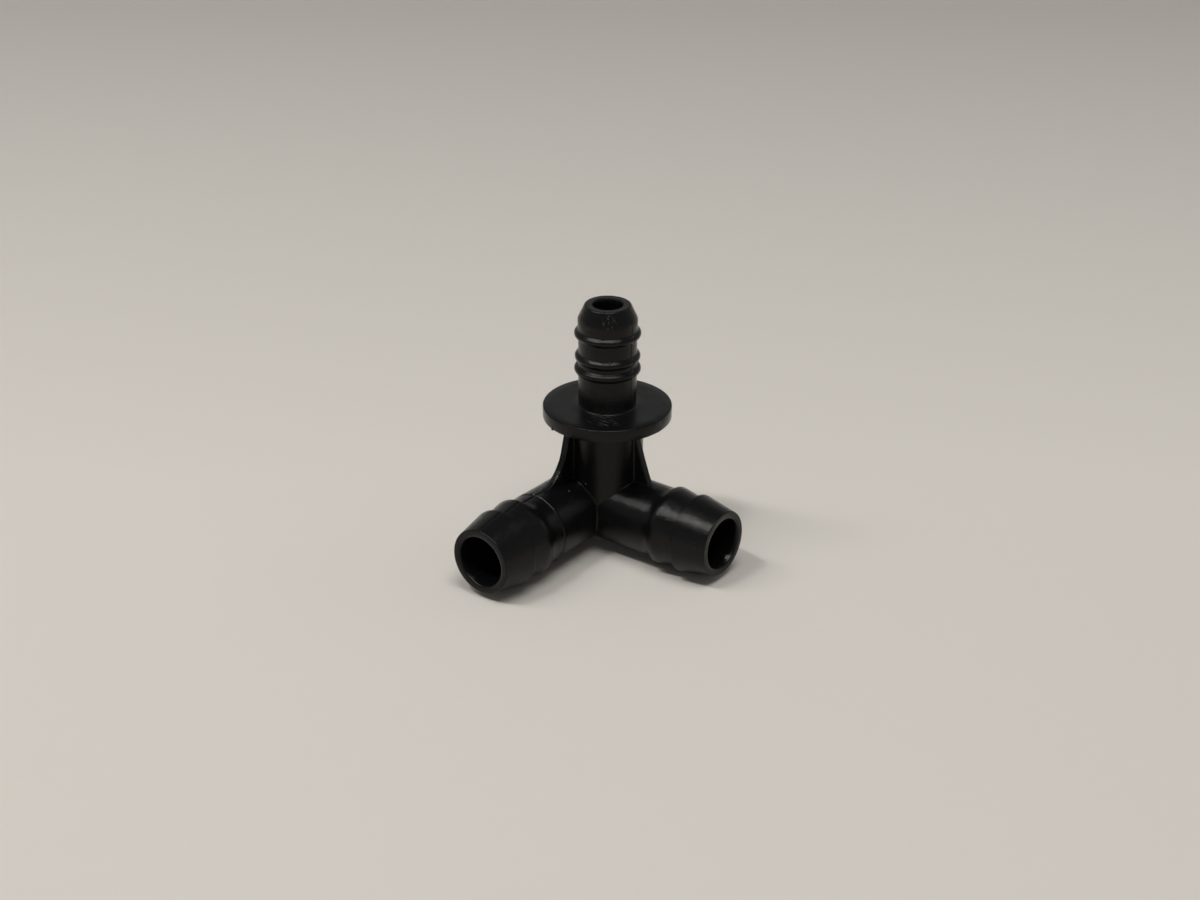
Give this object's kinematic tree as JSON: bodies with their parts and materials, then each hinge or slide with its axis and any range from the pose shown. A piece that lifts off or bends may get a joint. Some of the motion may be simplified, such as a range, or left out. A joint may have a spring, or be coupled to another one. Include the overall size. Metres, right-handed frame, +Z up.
{
  "type": "elbow connector",
  "caption": "Moulded corner elbow for soft hose: level barbed legs at a right angle and a thinner beaded nozzle that rises from a round flange.",
  "frame": {"origin": "centre of the flange's top face, on the nozzle's axis", "axes": "+Z up the nozzle, +X out of the short leg, -Y out of the long leg"},
  "size_m": [0.0324, 0.0371, 0.0401],
  "materials": {
    "black_plastic": "satin moulded black nylon"
  },
  "bodies": {
    "root": {"connector_body": "black_plastic"}
  },
  "joints": []
}
